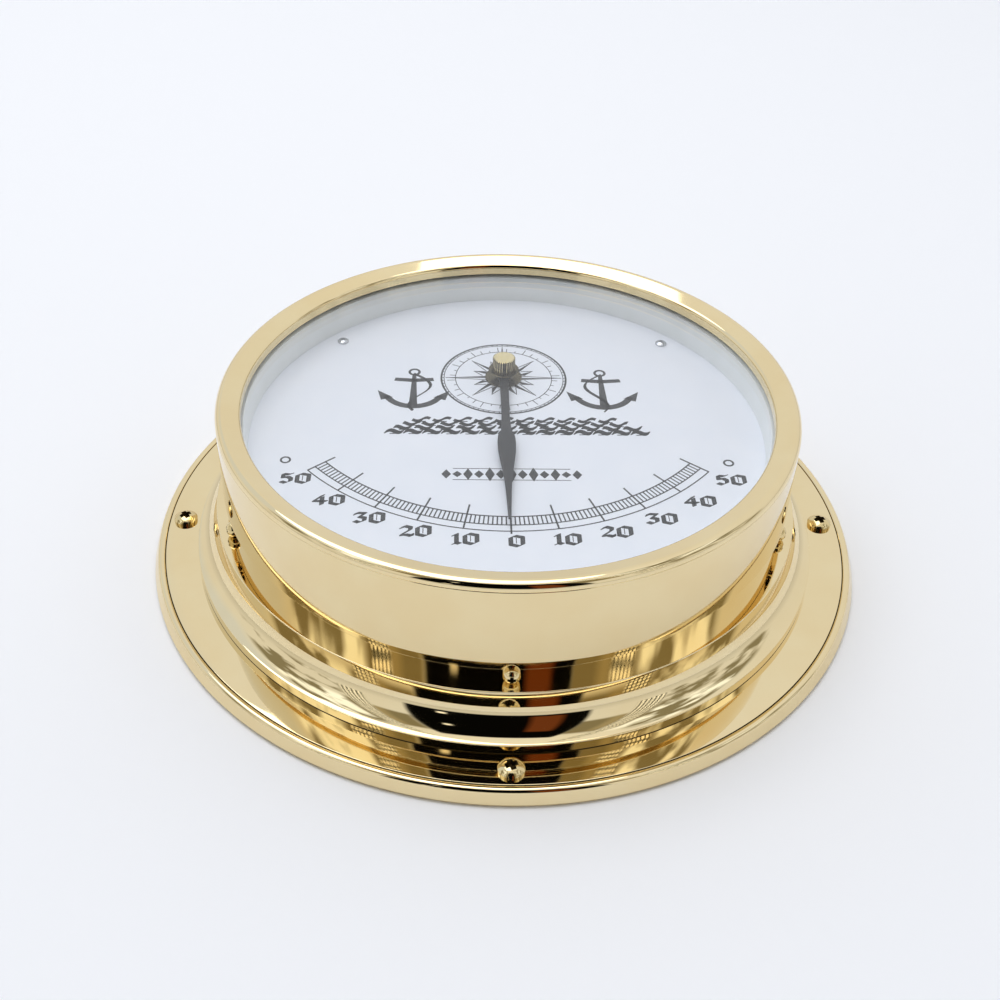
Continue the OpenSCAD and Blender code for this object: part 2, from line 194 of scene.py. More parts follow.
# turned brass of the nut, with a soft shine
NUT_BRASS = metal("turned knurled brass", "#f2e4bc", "#e4d4a4", 0.16, 0.5, 0.006)
# brass of the dished washer and of the cupped disc on the dial, dark in its colour; on the washer the
# darkness is a painted reflection
DARKENED_BRASS = metal("darkened washer brass", "#645c46", "#504836", 0.2, 0.5, 0.004)
# turned brass inside the case, not lacquered and slightly dull
INNER_BRASS = metal("turned unlacquered brass", "#c9a968", "#b8965a", 0.28, 1.5, 0.01)
# sintered bronze of the bushes, brownish and fine-grained
BRONZE = metal("sintered bronze", "#b98a56", "#a3784a", 0.4, 0.3, 0.01)
# bright nickel plate on the dial screws
NICKEL = metal("polished nickel plate", "#c9cacd", "#babcc0", 0.12, 0.6, 0.01)
# turned steel of the arbor, the rod and the hidden screws
STEEL = metal("turned steel", "#a9abae", "#9a9ca0", 0.3, 0.4, 0.006)


def painted(name, colour, other, roughness, grain_mm, depth_mm):
    """Paint, ink or rubber: a fine grain, and a colour that drifts over twelve grains."""
    mat, tree, shader = new_material(name, colour, roughness)
    where = speckle(tree, shader, colour, other, grain_mm * 12, 0.3, 0.7)
    waviness(tree, shader, where, grain_mm, depth_mm, 2.0)
    return mat


# stove-enamelled aluminium of the dial, cold white and satin, with the faintest orange peel
DIAL_WHITE = painted("white stove enamel", "#e6e9f1", "#e2e6ef", 0.35, 0.5, 0.002)
# satin enamel of the spacer ring, a pale grey-green
SPACER = painted("grey-green satin enamel", "#eef1f1", "#e9edec", 0.45, 0.4, 0.004)
# screen-printed ink, flat black
INK = painted("black screen ink", "#141518", "#1c1d20", 0.6, 0.2, 0.002)
# semi-gloss black lacquer on the brass pointer
POINTER_BLACK = painted("black lacquer", "#0b0c11", "#111218", 0.32, 0.3, 0.002)
# nitrile rubber of the gasket, matt black
RUBBER = painted("black nitrile rubber", "#161616", "#1f1f1f", 0.75, 0.3, 0.01)


def clear_glass():
    """Glass that light passes straight, so that the dial below is lit as through a real thin pane."""
    mat, tree, shader = new_material("clear float glass", "#fdfefe", 0.0, 0.0,
                                     Transmission_Weight=1.0, IOR=1.45)
    path = add(tree, "ShaderNodeLightPath")
    either = add(tree, "ShaderNodeMath",
                 {0: path.outputs["Is Shadow Ray"], 1: path.outputs["Is Diffuse Ray"]}, operation="MAXIMUM")
    clear = add(tree, "ShaderNodeBsdfTransparent", in_Color=linear("#fefefe"))
    mix = add(tree, "ShaderNodeMixShader", {0: either.outputs[0], 1: shader.outputs[0], 2: clear.outputs[0]})
    tree.links.new(mix.outputs[0], tree.nodes["Material Output"].inputs["Surface"])
    return mat


# float glass, clear with a trace of green
GLASS = clear_glass()


# shapes

def only_verts(geom):
    return [g for g in geom if isinstance(g, bmesh.types.BMVert)]


def turn_z(degrees):
    return Matrix.Rotation(math.radians(degrees), 4, "Z")


def new_object(bm, name):
    """Moves a bmesh into a mesh object of its own."""
    mesh = bpy.data.meshes.new(name)
    bm.to_mesh(mesh)
    bm.free()
    obj = bpy.data.objects.new(name, mesh)
    bpy.context.scene.collection.objects.link(obj)
    return obj


def finish(bm, name, mats, body, replaces=(), smooth_deg=40, weighted=True):
    """Turns a bmesh in millimetres into a finished piece in metres that rides on its body."""
    bmesh.ops.recalc_face_normals(bm, faces=bm.faces)
    bmesh.ops.scale(bm, vec=(MM, MM, MM), verts=bm.verts)
    for edge in bm.edges:
        edge.smooth = edge.is_manifold and edge.calc_face_angle(0) < math.radians(smooth_deg)
    for face in bm.faces:
        face.smooth = True
    obj = new_object(bm, name)
    for mat in mats if isinstance(mats, tuple) else (mats,):
        obj.data.materials.append(mat)
    if weighted:
        mod = obj.modifiers.new("face_weighted_normals", "WEIGHTED_NORMAL")
        mod.keep_sharp = True
        mod.weight = NORMAL_WEIGHT
    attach(obj, body)
    if replaces:
        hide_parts(*replaces)


def walk(bm, start, steps):
    """A section in the XZ plane. A step is (x, z) for a line to x, z or (x, z, degrees, pieces) for an arc
    about x, z."""
    tip = bm.verts.new((start[0], 0, start[1]))
    for step in steps:
        if len(step) == 2:
            tip = bmesh.ops.extrude_vert_indiv(bm, verts=[tip])["verts"][0]
            tip.co = (step[0], 0, step[1])
        else:
            x, z, degrees, pieces = step
            turn = bmesh.ops.spin(bm, geom=[tip], cent=(x, 0, z), axis=(0, -1, 0),
                                  angle=math.radians(degrees), steps=pieces)
            tip = only_verts(turn["geom_last"])[0]


def turned(start, steps, turns=256, about=(0, 0), edge=0.0, edge_deg=35):
    """A lathe piece: the closed section is spun a full turn, and its outer sharp rings are eased by edge."""
    bm = bmesh.new()
    walk(bm, start, list(steps) + [start])
    bmesh.ops.remove_doubles(bm, verts=bm.verts, dist=MERGE_DISTANCE)
    bmesh.ops.spin(bm, geom=bm.verts[:] + bm.edges[:], cent=(0, 0, 0), axis=(0, 0, 1),
                   angle=math.tau, steps=turns, use_merge=True)
    bmesh.ops.remove_doubles(bm, verts=bm.verts, dist=MERGE_DISTANCE)
    bmesh.ops.recalc_face_normals(bm, faces=bm.faces)
    if edge:
        sharp = [e for e in bm.edges if e.is_convex and e.calc_face_angle(0) > math.radians(edge_deg)]
        bmesh.ops.bevel(bm, geom=sharp, offset=edge, segments=3, profile=0.5, affect="EDGES",
                        clamp_overlap=True, material=-1)
    bmesh.ops.translate(bm, vec=(about[0], about[1], 0), verts=bm.verts)
    return bm


def ring():
    """The mounting ring, one hollow turning. Buffing has left its flat very slightly crowned."""
    rim_round = (88.03, 3.2, 131, 18)
    flat_crown = (82.8, -79.6, 5.6, 12)
    step_edge = (STEP_R - STEP_EASE, STEP_TOP - STEP_EASE, 90, 4)
    cove_round = (81.653, 14.96, -51.38, 40)
    bead_edge = (BEAD_TOP_R - BEAD_EASE, LEDGE_TOP - BEAD_EASE, 90, 4)
    rim = [(89.45, 0), (89.82, 0.42), (FLANGE_R, 1.0), (89.062, 3.576), rim_round]
    flat = [(86.98, 3.98), (86.86, FLANGE_TOP), flat_crown, (STEP_R, FLANGE_TOP)]
    step = [(STEP_R, SEAM_TOP), (STEP_R, STEP_TOP - STEP_EASE), step_edge, (STEP_R - 2 * STEP_EASE, STEP_TOP)]
    cove = [cove_round, (72.86, 12.62)]
    bead = [(73.15, 12.7), (BEAD_R, 12.85), (BEAD_TOP_R, LEDGE_TOP - BEAD_EASE), bead_edge]
    neck = [(NECK_R, LEDGE_TOP), (NECK_R, NECK_TOP), (NECK_BORE, NECK_TOP), (NECK_BORE, HOLLOW_TOP)]
    hollow = [(70.95, HOLLOW_TOP), (71, 13.6), (71.1, 12.3), (72.75, 8.7), (74.78, STEP_TOP),
              (76.8, 4.7), (76.8, FOOT_HOLLOW), (FOOT_R, FOOT_HOLLOW)]
    return turned((FOOT_R, 0), rim + flat + step + cove + bead + neck + hollow,
                  turns=LARGE_TURNS, edge=0.05, edge_deg=30)


def paint_seam_shade(bm):
    """Painted shade: the groove by the rim and the foot of the step take the dark second material."""
    groove = ((86.95, 87.22), (3.6, 3.95))
    foot = ((78.5, 78.62), (FLANGE_TOP, SEAM_TOP))
    for face in bm.faces:
        spot = face.calc_center_median()
        for radii, heights in (groove, foot):
            if radii[0] < spot.xy.length < radii[1] and heights[0] < spot.z < heights[1]:
                face.material_index = 1
    return bm


def bezel():
    """The cover ring: skirt, tall wall, a fine crease, the roll, the fall of the lip and its inner edge."""
    roll = (68.85, WALL_TOP, 107, 24)
    inner_edge = (65.7, 43.512, 73, 12)
    skirt = [(WALL_R - WALL_EASE, SKIRT_LOW), (WALL_R, SKIRT_LOW + WALL_EASE), (WALL_R, CREASE_LOW)]
    crease = [(CREASE_R, 43.65), (CREASE_R, 43.72), (WALL_R, CREASE_TOP), (WALL_R, WALL_TOP)]
    lip = [roll, (65.349, 44.66), inner_edge, (LIP_R, LIP_LOW)]
    bore = [(LIP_BORE, LIP_LOW), (LIP_BORE, NECK_TOP), (SKIRT_BORE, NECK_TOP)]
    return turned((SKIRT_BORE, SKIRT_LOW), skirt + crease + lip + bore,
                  turns=LARGE_TURNS, edge=0.04, edge_deg=30)


def pane():
    """The glass, with a small chamfer on both rims."""
    inner = GLASS_R - GLASS_CHAMFER
    return turned((0, GLASS_LOW), [(inner, GLASS_LOW), (GLASS_R, GLASS_LOW + GLASS_CHAMFER),
                                   (GLASS_R, GLASS_TOP - GLASS_CHAMFER), (inner, GLASS_TOP), (0, GLASS_TOP)])


def spacer():
    """The pale ring that stands on the dial and carries the glass, its bore slightly tapered."""
    return turned((SPACER_LOW_BORE, DIAL_TOP),
                  [(GLASS_R, DIAL_TOP), (GLASS_R, GLASS_LOW), (SPACER_TOP_BORE, GLASS_LOW)], edge=0.12)


def washer():
    """A thin washer dished upwards at its rim."""
    rim = [(3.88, 35.42), (3.92, 35.56), (3.8, 35.62)]
    dish = [(3.2, WASHER_LOW)] + rim + [(3.05, NUT_LOW), (WASHER_BORE, NUT_LOW)]
    return turned((WASHER_BORE, WASHER_LOW), dish, turns=SMALL_TURNS, about=(0, PIVOT_Y))


def cupped_disc():
    """The disc on the dial around the arbor: a boss in the dial's hole and a cup with a raised rim."""
    boss = [(2.58, DISC_LOW), (2.58, 32.82)]
    cup = [(4.5, 32.82), (4.78, 33.1), (4.78, 33.28), (4.66, 33.3), (4.3, DISC_TOP), (DISC_BORE, DISC_TOP)]
    return turned((DISC_BORE, DISC_LOW), boss + cup, turns=SMALL_TURNS, about=(0, PIVOT_Y))


def nut():
    """The nut: a toothed drum with an eased crown and a lathe centre."""
    groove_share = 0.88
    flank_r = 2.8
    crown_low = 39
    # how far each step of the crown draws in, and how far it rises
    crown_steps = ((0.95, 0.1), (0.45, 0.05), (0.85, -0.12))
    bm = bmesh.new()
    outline = bmesh.ops.create_circle(bm, cap_ends=True, segments=NUT_RIDGES * 4, radius=NUT_R,
                                      matrix=Matrix.Translation((0, 0, NUT_LOW)))["verts"]
    for i, vert in enumerate(outline):
        if i % 4 > 1:
            vert.co.xy *= groove_share
    sides = bmesh.ops.extrude_face_region(bm, geom=list(bm.faces))["geom"]
    bmesh.ops.translate(bm, vec=(0, 0, NUT_BODY), verts=only_verts(sides))
    # the grooves and their flanks take the dark second material, painted shade
    for face in bm.faces:
        if len(face.verts) == 4 and face.calc_center_median().xy.length < flank_r:
            face.material_index = 1
    crown = [f for f in bm.faces if f.calc_center_median().z > crown_low]
    for shrink, rise in crown_steps:
        crown = [g for g in bmesh.ops.extrude_face_region(bm, geom=crown)["geom"]
                 if isinstance(g, bmesh.types.BMFace)]
        rim = list({v for f in crown for v in f.verts})
        bmesh.ops.scale(bm, vec=(shrink, shrink, 1), verts=rim)
        bmesh.ops.translate(bm, vec=(0, 0, rise), verts=rim)
    bmesh.ops.translate(bm, vec=(0, PIVOT_Y, 0), verts=bm.verts)
    return bm


def lance():
    """The pointer: a round eye and a blade that swells at its middle, with eased edges."""
    eye_r = 3.2
    eye_thick = 0.38
    eye_middle = 34.9
    # distance from the pivot and half the width there
    half = [(0, 1.3), (9, 1.1), (20, 1.02), (26.4, 1.25), (27.2, 1.55), (29, 2.1), (31.5, 2.25), (35, 2.15),
            (38.5, 1.8), (42, 1.38), (45.5, 1.0), (50, 0.72), (56, 0.5), (60.6, 0.36)]
    bm = bmesh.new()
    right = [bm.verts.new((w, PIVOT_Y - d, POINTER_LOW)) for d, w in half]
    left = [bm.verts.new((-w, PIVOT_Y - d, POINTER_LOW)) for d, w in reversed(half)]
    bm.faces.new(right + left)
    blade = bmesh.ops.extrude_face_region(bm, geom=list(bm.faces))["geom"]
    bmesh.ops.translate(bm, vec=(0, 0, POINTER_THICK), verts=only_verts(blade))
    bmesh.ops.create_cone(bm, cap_ends=True, segments=64, radius1=eye_r, radius2=eye_r, depth=eye_thick,
                          matrix=Matrix.Translation((0, PIVOT_Y, eye_middle)))
    sharp = [e for e in bm.edges if e.is_manifold and e.calc_face_angle(0) > math.radians(60)]
    bmesh.ops.bevel(bm, geom=sharp, offset=0.06, segments=2, profile=0.5, affect="EDGES", material=-1)
    return bm


finish(paint_seam_shade(ring()), "turned_ring", (BRASS, SHADE_DARK_BRASS), CASE, ["mounting_ring"], 60)
finish(bezel(), "rolled_bezel", BRASS, CASE, ["bezel"], 60)
finish(pane(), "glass_disc", GLASS, CASE, ["glass"])
finish(spacer(), "spacer_band", SPACER, CASE, ["spacer_ring"])
# the washer's dark colour is a painted reflection
finish(washer(), "dished_washer", DARKENED_BRASS, PENDULUM, ["pointer_washer"])
finish(cupped_disc(), "arbor_disc", DARKENED_BRASS, CASE, ["dial_bush"])
finish(nut(), "knurled_nut_cap", (NUT_BRASS, SHADE_DARK_BRASS), PENDULUM, ["knurled_nut"], 25, False)
finish(lance(), "lance_pointer", POINTER_BLACK, PENDULUM, ["pointer"], 30, False)


# screws

def blank_screw(radius, height, shank_r, shank_l):
    """The turned screw with its dome, before the recess is punched. Its seat is at z = 0."""
    ease = 0.06
    sag = height * 0.62
    ball = (radius ** 2 + sag ** 2) / (2 * sag)
    sweep = math.degrees(math.asin(radius / ball))
    shank = [(shank_r * 0.8, -shank_l), (shank_r, -shank_l + shank_r * 0.3), (shank_r, 0)]
    dome = [(radius - ease, 0), (radius, ease), (radius, height - sag), (0, height - ball, sweep, 14)]
    return turned((0, -shank_l), shank + dome, turns=SCREW_TURNS)


def cross_punch(height, cross):
    """Two crossed wedges, wider towards the top."""
    slot_share = 0.42
    low_r = 0.45 * cross
    top_r = 1.1 * cross
    bm = bmesh.new()
    for turn in (0, 90):
        part = bmesh.ops.create_cone(bm, cap_ends=True, segments=4, radius1=low_r, radius2=top_r,
                                     depth=height * 0.9, matrix=turn_z(45))["verts"]
        bmesh.ops.scale(bm, vec=(1, slot_share, 1), verts=part)
        bmesh.ops.rotate(bm, matrix=turn_z(turn).to_3x3(), verts=part)
    bmesh.ops.translate(bm, vec=(0, 0, height * 0.85), verts=bm.verts)
    return bm


def round_head(radius, height, shank_r, shank_l, cross):
    """The mesh of a domed screw pointing up, with a cross recess in its second material."""
    bm = blank_screw(radius, height, shank_r, shank_l)
    bmesh.ops.recalc_face_normals(bm, faces=bm.faces)
    blank = new_object(bm, "blank")
    tool = new_object(cross_punch(height, cross), "tool")
    blank.data.materials.append(SCREW_BRASS)
    tool.data.materials.append(SHADE_DARK_BRASS)
    mod = blank.modifiers.new("recess", "BOOLEAN")
    mod.operation = "DIFFERENCE"
    mod.solver = "EXACT"
    mod.use_self = True
    mod.material_mode = "TRANSFER"
    mod.object = tool
    shaped = bmesh.new()
    shaped.from_object(blank, bpy.context.evaluated_depsgraph_get())
    for made in (blank, tool):
        bpy.data.objects.remove(made)
    shell = bpy.data.meshes.new("screw")
    shaped.to_mesh(shell)
    shaped.free()
    return shell


def screws(shell, places):
    """Copies of one screw, each at its own matrix in millimetres."""
    bm = bmesh.new()
    for place in places:
        bm.from_mesh(shell)
        new = [v for v in bm.verts if not v.tag]
        bmesh.ops.transform(bm, matrix=place, verts=new)
        for v in bm.verts:
            v.tag = True
    return bm


def flange_screws():
    """Four screws down into the flange, each left at its own angle by the driver."""
    shell = round_head(radius=3.0, height=2.1, shank_r=1.5, shank_l=3.7, cross=2.6)
    driver_turns = (17, 50, 36, 22)
    seat = Matrix.Translation((FLANGE_SCREW_R, 0, FLANGE_TOP))
    return screws(shell, [turn_z(90 * k) @ seat @ turn_z(a) for k, a in enumerate(driver_turns)])


def neck_screws():
    """Five screws that stand out of the neck, one of them at the front."""
    shell = round_head(radius=1.95, height=2.0, shank_r=1.1, shank_l=4.6, cross=1.6)
    seat = Matrix.Translation((NECK_R, 0, NECK_SCREW_Z)) @ Matrix.Rotation(math.radians(90), 4, "Y")
    return screws(shell, [turn_z(270 + 72 * k) @ seat @ turn_z(30 * k) for k in range(5)])


def dial_screws():
    """Two screws in the upper half of the dial."""
    shell = round_head(radius=1.5, height=0.9, shank_r=1.0, shank_l=6.0, cross=1.2)
    return screws(shell, [Matrix.Translation((side * DIAL_SCREW_X, DIAL_SCREW_Y, DIAL_TOP))
                          @ turn_z(25 * side) for side in (-1, 1)])


# the cross recesses of the flange and neck screws take the dark brass, painted shade
finish(flange_screws(), "flange_screw_set", (SCREW_BRASS, SHADE_DARK_BRASS), CASE, ["flange_screws"],
       35, False)
finish(neck_screws(), "neck_screw_set", (SCREW_BRASS, SHADE_DARK_BRASS), CASE, ["neck_screws"],
       35, False)
finish(dial_screws(), "dial_screw_pair", (NICKEL, STEEL), CASE, ["dial_screws"],
       35, False)


# the dial's print, thin raised ink
INK_LOW = DIAL_TOP - 0.01
INK_TOP = DIAL_TOP + 0.03

# the degree scale, radii from the pivot
ARC_IN = 57.3
ARC_MIDDLE = 60.3
ARC_OUT = 62.5
DEGREE_WIDTH = 0.32
TEN_WIDTH = 0.42
NUMBER_R = 65.9
# the printed scale is turned a trace on its dial, and its numbers stand a little to the right
SCALE_TURN = 0.3
NUMBERS_RIGHT = 1.1
DIGIT_HEIGHT = 4.4


def nib(bm, path, width, thin, angle):
    """A broad pen drawn along a path: each stretch is the hull of the nib at its two ends."""
    for stretch in zip(path, path[1:]):
        ends = []
        for spot in stretch:
            place = (Matrix.Translation((spot[0], spot[1], (INK_LOW + INK_TOP) / 2))
                     @ turn_z(angle) @ Matrix.Diagonal((width, thin, INK_TOP - INK_LOW, 1)))
            ends += bmesh.ops.create_cube(bm, size=1, matrix=place)["verts"]
        bmesh.ops.delete(bm, geom=list({f for v in ends for f in v.link_faces}), context="FACES_ONLY")
        hull = bmesh.ops.convex_hull(bm, input=ends)
        spare = set(only_verts(hull["geom_interior"] + hull["geom_unused"]))
        bmesh.ops.delete(bm, geom=list(spare), context="VERTS")


def bar(bm, a, b, width):
    """A straight line of ink from a to b, square to its ends."""
    nib(bm, [a, b], width, 0.02, math.degrees(math.atan2(b[1] - a[1], b[0] - a[0])) + 90)


def blot(bm, outline):
    """A filled shape of ink."""
    low = bm.faces.new([bm.verts.new((x, y, INK_LOW)) for x, y in outline])
    made = bmesh.ops.extrude_face_region(bm, geom=[low])["geom"]
    bmesh.ops.translate(bm, vec=(0, 0, INK_TOP - INK_LOW), verts=only_verts(made))


def ring_line(bm, centre, radius, width, start=0.0, degrees=360.0, steps=96):
    """A line of ink along a circle. Angle 0 points down the dial and grows to the right."""
    full = degrees >= 360
    half = width / 2
    low = [bm.verts.new((0, -radius + s, z)) for s, z in
           ((-half, INK_LOW), (half, INK_LOW), (half, INK_TOP), (-half, INK_TOP))]
    face = bm.faces.new(low)
    geom = low + list(face.edges) + ([] if full else [face])
    bmesh.ops.rotate(bm, matrix=turn_z(start).to_3x3(), cent=(0, 0, 0), verts=low)
    bmesh.ops.spin(bm, geom=geom, cent=(0, 0, 0), axis=(0, 0, 1),
                   angle=math.radians(degrees), steps=steps, use_merge=full)
    if full:
        bmesh.ops.delete(bm, geom=[face], context="FACES_ONLY")
    made = set(low)
    grow = set(low)
    while grow:
        grow = {e.other_vert(v) for v in grow for e in v.link_edges} - made
        made |= grow
    bmesh.ops.translate(bm, vec=(centre[0], centre[1], 0), verts=list(made))


def on_scale(radius, degrees):
    """A point at that radius and angle from the pivot, 0 down the dial."""
    a = math.radians(degrees + SCALE_TURN)
    return (radius * math.sin(a), PIVOT_Y - radius * math.cos(a))


# digits as broad-pen strokes, with their widths
DIGITS = {
    "0": (4.1, [[(0.7, 0.95), (0.7, 3.35), (1.6, 3.95)], [(1.6, 3.95), (3.4, 3.5), (3.4, 1.1)],
                [(3.4, 1.1), (2.4, 0.42), (0.7, 0.95)]]),
    "1": (2.5, [[(0.65, 3.3), (1.3, 3.85), (1.3, 0.8)], [(0.65, 0.45), (1.3, 0.8), (2.0, 0.55)]]),
    "2": (3.6, [[(0.65, 3.1), (1.4, 3.85), (2.75, 3.4), (2.65, 2.6), (0.75, 0.85)],
                [(0.75, 0.65), (1.7, 0.85), (3.0, 0.45), (3.1, 1.05)]]),
    "3": (3.6, [[(0.6, 3.25), (1.0, 3.85), (2.85, 3.75), (1.6, 2.45)],
                [(1.6, 2.45), (2.8, 2.1), (2.75, 1.1), (1.6, 0.45), (0.6, 0.9)]]),
    "4": (3.8, [[(2.5, 3.85), (0.65, 1.8)], [(0.6, 1.65), (3.35, 1.6)], [(2.4, 3.1), (2.4, 0.45)]]),
    "5": (3.6, [[(0.95, 3.7), (0.9, 2.55)], [(0.95, 3.8), (2.2, 3.6), (2.95, 3.95)],
                [(0.9, 2.5), (2.1, 2.65), (2.8, 2.1), (2.75, 1.1), (1.6, 0.42), (0.6, 0.9)]]),
}


def number(bm, text, centre):
    """Upright digits about a centre. A nought has a thin upright line in its middle."""
    nib_wide, nib_thin, nib_angle = 1.12, 0.22, 32
    line_x, line_low, line_top, line_width = 1.95, 1.35, 3.25, 0.2
    x0 = centre[0] - sum(DIGITS[digit][0] for digit in text) / 2
    y0 = centre[1] - DIGIT_HEIGHT / 2
    for digit in text:
        wide, strokes = DIGITS[digit]
        for stroke in strokes:
            nib(bm, [(x0 + x, y0 + y) for x, y in stroke], nib_wide, nib_thin, nib_angle)
        if digit == "0":
            bar(bm, (x0 + line_x, y0 + line_low), (x0 + line_x, y0 + line_top), line_width)
        x0 += wide


def scale_print():
    """Three arcs, a line for each degree, long lines for each ten, the numbers and two degree rings."""
    reach = 50
    inner_width = 0.36
    ring_x, ring_y, ring_r, ring_width = 53.4, -13.1, 1.1, 0.5
    bm = bmesh.new()
    for radius, width in ((ARC_IN, inner_width), (ARC_MIDDLE, DEGREE_WIDTH), (ARC_OUT, DEGREE_WIDTH)):
        ring_line(bm, (0, PIVOT_Y), radius, width, SCALE_TURN - reach, 2 * reach, 2 * reach)
    for degree in range(-reach, reach + 1):
        if degree % 10:
            bar(bm, on_scale(ARC_IN, degree), on_scale(ARC_MIDDLE, degree), DEGREE_WIDTH)
    for ten in range(-5, 6):
        # the end lines start further out, and the line at nought ends further out
        inner = 53.8 if abs(ten) < 5 else 54.4
        outer = 62.6 if ten else 63.4
        bar(bm, on_scale(inner, ten * 10), on_scale(outer, ten * 10), TEN_WIDTH)
        place = on_scale(NUMBER_R + 0.3 * abs(ten), ten * 10)
        number(bm, str(abs(ten) * 10), (place[0] + NUMBERS_RIGHT, place[1]))
    for side in (-1, 1):
        ring_line(bm, (side * ring_x, ring_y), ring_r, ring_width, steps=32)
    return bm


finish(scale_print(), "scale_print", INK, CASE, smooth_deg=20, weighted=False)


def rose(bm, centre):
    """A compass rose: sixteen points, each half solid and half outlined, in a ring of ticks."""
    # length of a point and radius of its root, for every fourth point alike
    points = ((15.2, 4.4), (8.4, 5.6), (11.6, 5.0), (8.4, 5.6))
    heart, inner, outer, rim, fine = 4.2, 12.6, 15.6, 16.3, 0.2

    def at(radius, degrees):
        a = math.radians(degrees)
        return (centre[0] + radius * math.sin(a), centre[1] + radius * math.cos(a))

    for k in range(16):
        length, root = points[k % 4]
        turn = k * 22.5
        blot(bm, [at(heart, turn), at(length, turn), at(root, turn + 11.25)])
        bar(bm, at(length, turn), at(root, turn - 11.25), 0.22)
    for radius, width in ((rim, 0.5), (outer, fine), (inner, fine)):
        ring_line(bm, centre, radius, width)
    for k in range(72):
        bar(bm, at(outer, k * 5), at(rim, k * 5), fine)
        if k % 2:
            bar(bm, at(inner, k * 5), at(13.4 + 0.7 * (k % 3), k * 5), fine)


def anchor(bm, x, y, size, side):
    """A plain anchor with its ring, shank, stock, arms and flukes, and a loose rope."""
    arm_out, arm_in = 5.4, 4.7

    def to(u, v):
        return (x + side * u * size, y + v * size)

    ring_line(bm, to(0, 11.2), 0.9 * size, 0.45 * size, steps=32)
    shank = [(-0.35, 10.1), (0.35, 10.1), (0.75, 0.6), (-0.75, 0.6)]
    stock = [(-3.6, 8.3), (-3.4, 9.3), (0, 9.0), (3.4, 9.3), (3.6, 8.3), (0, 7.9)]
    low = [(5.6 * math.sin(math.radians(a)), 5.0 - arm_out * math.cos(math.radians(a)))
           for a in range(-72, 73, 12)]
    high = [(arm_in * math.sin(math.radians(a)), 5.6 - arm_in * math.cos(math.radians(a)))
            for a in range(66, -67, -12)]
    flukes = [[(way * 6.4, 5.2), (way * 3.6, 3.0), (way * 5.7, 2.2)] for way in (-1, 1)]
    for outline in [shank, stock, low + high] + flukes:
        blot(bm, [to(u, v) for u, v in outline])
    rope = [to(2.4 * math.sin(t / 3.0) + 0.12 * t, 10.6 - 0.72 * t) for t in range(17)]
    nib(bm, rope, 0.55 * size, 0.25 * size, 50)


def sea(bm, left, right, low):
    """Rows of curled wave strokes, shorter towards the top, with short strokes under them."""
    rows, row_height, crest, climb = 4, 1.75, 0.62, 0.1
    wave_length, wave_points, wave_pitch = 4.2, 8, 4.7
    for row in range(rows):
        y = low + row_height * row
        trim = 2.2 * row + 1.2
        x = left + trim
        while x < right - trim - 3:
            wave = []
            for k in range(wave_points):
                u = wave_length * k / (wave_points - 1)
                curl = crest * math.sin(math.radians(u * 80 + 60 * row))
                wave.append((x + u, y + curl + climb * u))
            nib(bm, wave, 1.45 - 0.12 * row, 0.3, 62)
            bar(bm, (x + 1.0, y - 0.75), (x + 3.3, y - 0.65), 0.3)
            x += wave_pitch + 0.5 * (row % 2)


def ornament(bm, middle, half, height):
    """A plain row of lozenges between two thin lines."""
    count, lozenge_half, line_width = 13, 1.15, 0.2
    for k in range(count):
        u = (k - (count - 1) / 2) / ((count - 1) / 2)
        tall = height / 2 * (1 - 0.45 * abs(u)) * (1.0 if k % 2 == 0 else 0.6)
        x = middle[0] + u * half
        blot(bm, [(x - lozenge_half, middle[1]), (x, middle[1] - tall),
                  (x + lozenge_half, middle[1]), (x, middle[1] + tall)])
    for side in (-1, 1):
        y = middle[1] + side * height * 0.34
        bar(bm, (middle[0] - half * 0.9, y), (middle[0] + half * 0.9, y), line_width)


def dial_picture():
    """The rose with an anchor on each side, the sea under them and the ornament below."""
    anchor_y, anchor_size = 9.6, 1.45
    bm = bmesh.new()
    rose(bm, (0, PIVOT_Y))
    anchor(bm, -23.4, anchor_y, anchor_size, 1)
    anchor(bm, 25.4, anchor_y, anchor_size, -1)
    sea(bm, -31, 37, -1.2)
    ornament(bm, (1.0, -18.2), 15.6, 6.4)
    return bm


finish(dial_picture(), "dial_picture", INK, CASE, smooth_deg=20, weighted=False)

# carried-over nodes get their real finishes
for name, mat in {
        "dial": DIAL_WHITE, "case_drum": INNER_BRASS, "glass_gasket": RUBBER, "dial_pillars": INNER_BRASS,
        "bridge_posts": INNER_BRASS, "bearing_bridge": INNER_BRASS, "bridge_screws": STEEL,
        "base_screws": STEEL, "front_bush": BRONZE, "rear_bush": BRONZE, "arbor": STEEL,
        "pendulum_collet": INNER_BRASS, "collet_screw": STEEL,
        "pendulum_rod": STEEL, "pendulum_bob": INNER_BRASS, "bob_nut": STEEL}.items():
    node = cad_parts[name]
    node.data.materials.clear()
    node.data.materials.append(mat)


# the stage, in metres

def floor():
    """A large round sheet of pale paper."""
    sheet_r = 4.0
    bm = bmesh.new()
    bmesh.ops.create_circle(bm, cap_ends=True, segments=96, radius=sheet_r)
    obj = new_object(bm, "floor")
    obj.data.materials.append(new_material("white paper sheet", "#f6f7fa", 0.9)[0])


floor()

# the room in degrees: round from the front, positive to the right, and up from the floor
LEFT_WALL = ((-156, -104), (24, 80))
CLOTHS = ((-100, -58), (56, 100))
CLOTH_UP = (10, 66)
CLOTH_LIGHT_UP = (38, 64)
# each dotted panel hangs before a wider grey one that has a paler stripe
PANELS = (((-60, -33), (-57, -48)), ((28, 58), (46, 56)))
GREY_UP = (36, 62)
STRIPE_UP = (36, 60)
STRIPE_HALF = 2
DOTTED_UP = (14, 78)
FRONT_GAP = ((-33, 29), (8, 68))
DOORWAY = ((9.5, 20), (12, 51.5))
GAP_LAMPS = (((-22, -19), (13, 17)), ((-22, -19), (42, 45.5)))
DOT_SPACING = 1.8
DOT_SIZE = 0.12


